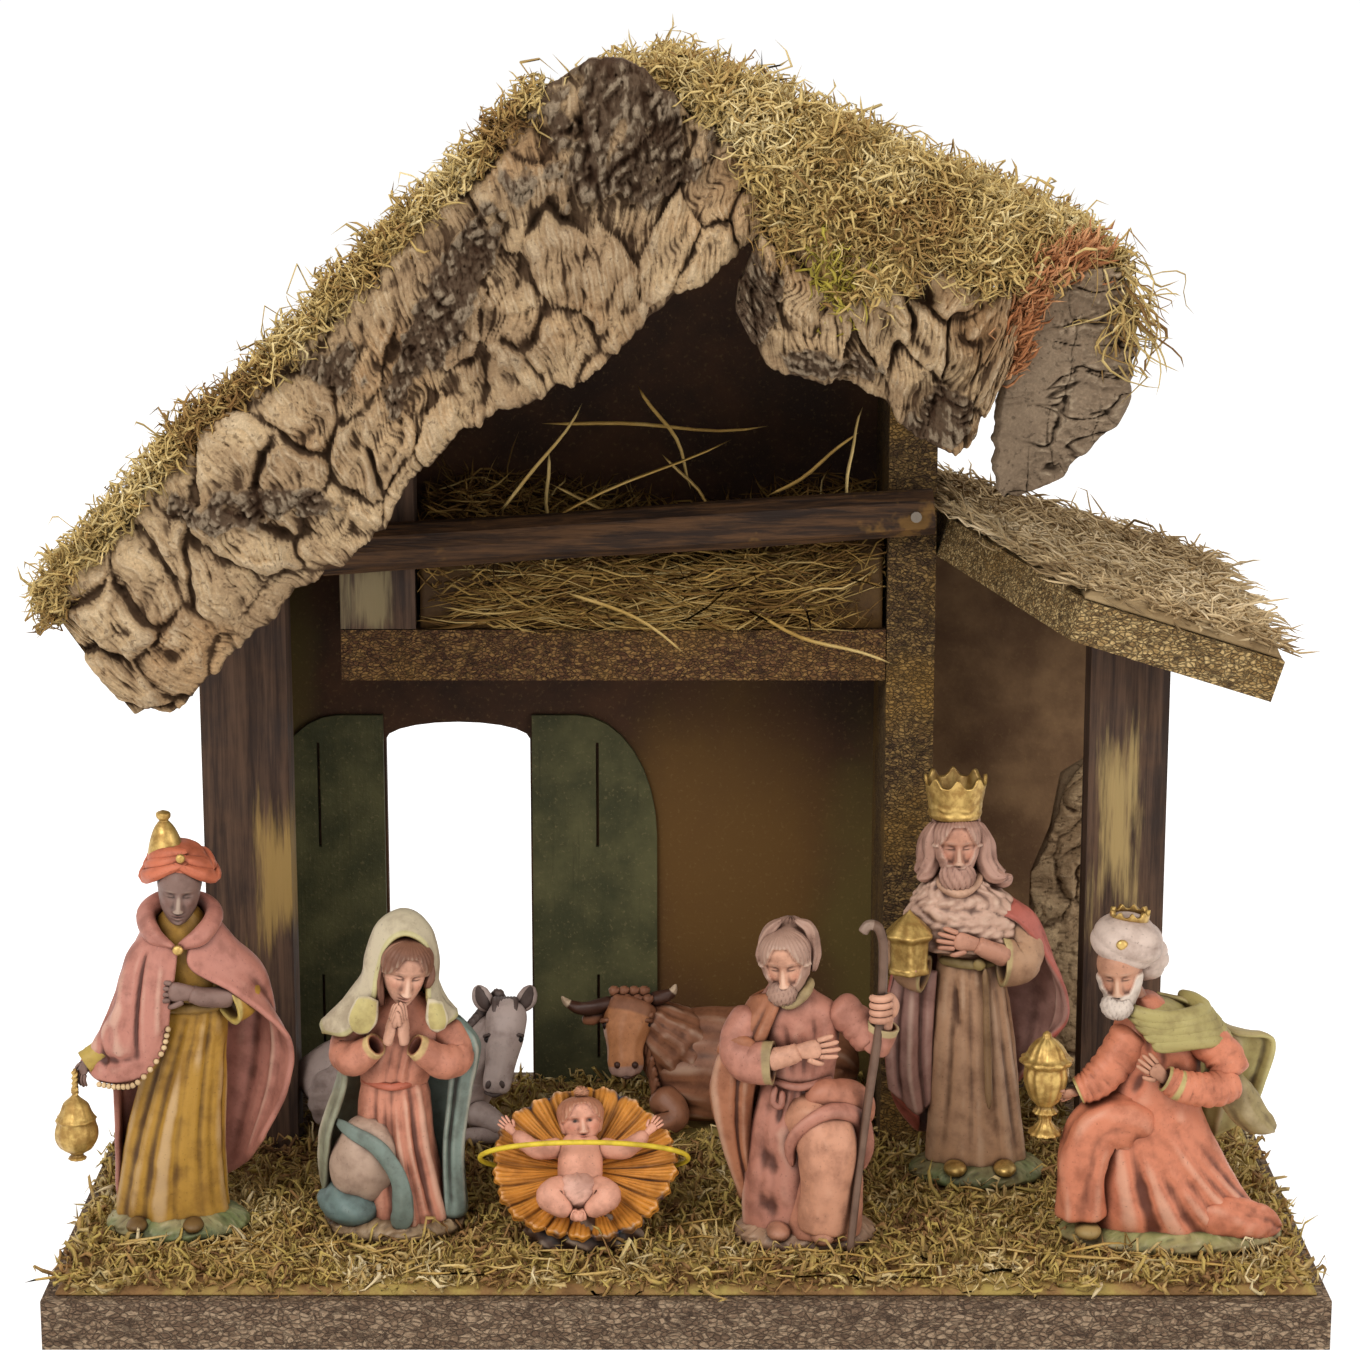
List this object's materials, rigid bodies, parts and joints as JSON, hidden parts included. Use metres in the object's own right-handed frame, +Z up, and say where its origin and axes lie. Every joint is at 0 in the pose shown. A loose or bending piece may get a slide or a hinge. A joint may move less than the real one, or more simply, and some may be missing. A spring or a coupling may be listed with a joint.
{
  "type": "nativity stable",
  "caption": "Wooden crib stable with a moss roof, cork bark trim, a hay loft and a lean-to, and small painted figures standing loose on its mossy base.",
  "frame": {"origin": "middle of the base board's underside", "axes": "+Z up, +Y towards the back wall, +X to the right as seen from the front"},
  "size_m": [0.3001, 0.16, 0.2986],
  "materials": {
    "chipboard": "rough sawn particle board",
    "base_edge": "sawn particle board with a brown-grey wash",
    "painted_slat": "dark brown paint, dry-brushed with ochre",
    "painted_panel": "dark brown paint with ochre and olive patches",
    "green_door": "matt dark green paint, speckled with tan",
    "cork_bark": "rough cork bark",
    "grey_bark": "weathered grey bark",
    "log": "stained round log",
    "moss": "dried moss and straw",
    "hay": "dry hay",
    "steel": "bright wire brad",
    "figure_pink": "satin paint with a dark wash in the folds",
    "figure_coral": "satin paint with a dark wash in the folds",
    "figure_tan": "satin paint with a dark wash in the folds",
    "figure_grey": "satin grey paint with a dark wash",
    "figure_brown": "satin brown paint with a dark wash",
    "figure_skin": "satin skin-coloured paint",
    "manger_straw": "satin orange paint with a brown wash",
    "staff_brown": "satin brown paint",
    "yellow_band": "matt yellow rubber band"
  },
  "bodies": {
    "stable": {"back_wall": "painted_panel", "bark_end_flake": "grey_bark", "base_board": "base_edge", "base_brad_1": "steel", "base_brad_2": "steel", "base_brad_3": "steel", "base_brad_4": "steel", "base_moss": "moss", "cork_fascia_left": "cork_bark", "cork_fascia_right": "cork_bark", "cork_rock": "cork_bark", "door_leaf_left": "green_door", "door_leaf_right": "green_door", "lean_to_back_panel": "painted_panel", "lean_to_hay": "hay", "lean_to_post": "painted_slat", "lean_to_roof_board": "chipboard", "left_front_post": "painted_slat", "left_side_wall": "painted_panel", "loft_hay": "hay", "loft_rail": "log", "loft_shelf": "chipboard", "loft_upright": "painted_slat", "partition_wall": "chipboard", "rail_brad": "steel", "roof_board_left": "chipboard", "roof_board_right": "chipboard", "roof_moss_left": "moss", "roof_moss_right": "moss"},
    "censer_king": {"king_with_censer": "figure_pink"},
    "mother": {"kneeling_mother": "figure_coral"},
    "donkey": {"donkey": "figure_grey"},
    "manger_set": {"manger": "manger_straw", "infant": "figure_skin", "manger_band": "yellow_band"},
    "ox": {"ox": "figure_brown"},
    "father": {"kneeling_father": "figure_pink", "crook_staff": "staff_brown"},
    "casket_king": {"king_with_casket": "figure_tan"},
    "urn_king": {"king_with_urn": "figure_coral"}
  },
  "joints": [
    {"name": "censer_king_lift", "type": "slide", "parent": "stable", "child": "censer_king", "axis": [0, 0, 1], "range_m": [0, 0.015]},
    {"name": "mother_lift", "type": "slide", "parent": "stable", "child": "mother", "axis": [0, 0, 1], "range_m": [0, 0.015]},
    {"name": "donkey_lift", "type": "slide", "parent": "stable", "child": "donkey", "axis": [0, 0, 1], "range_m": [0, 0.015]},
    {"name": "manger_set_lift", "type": "slide", "parent": "stable", "child": "manger_set", "axis": [0, 0, 1], "range_m": [0, 0.015]},
    {"name": "ox_lift", "type": "slide", "parent": "stable", "child": "ox", "axis": [0, 0, 1], "range_m": [0, 0.015]},
    {"name": "father_lift", "type": "slide", "parent": "stable", "child": "father", "axis": [0, 0, 1], "range_m": [0, 0.015]},
    {"name": "casket_king_lift", "type": "slide", "parent": "stable", "child": "casket_king", "axis": [0, 0, 1], "range_m": [0, 0.015]},
    {"name": "urn_king_lift", "type": "slide", "parent": "stable", "child": "urn_king", "axis": [0, 0, 1], "range_m": [0, 0.015]}
  ]
}
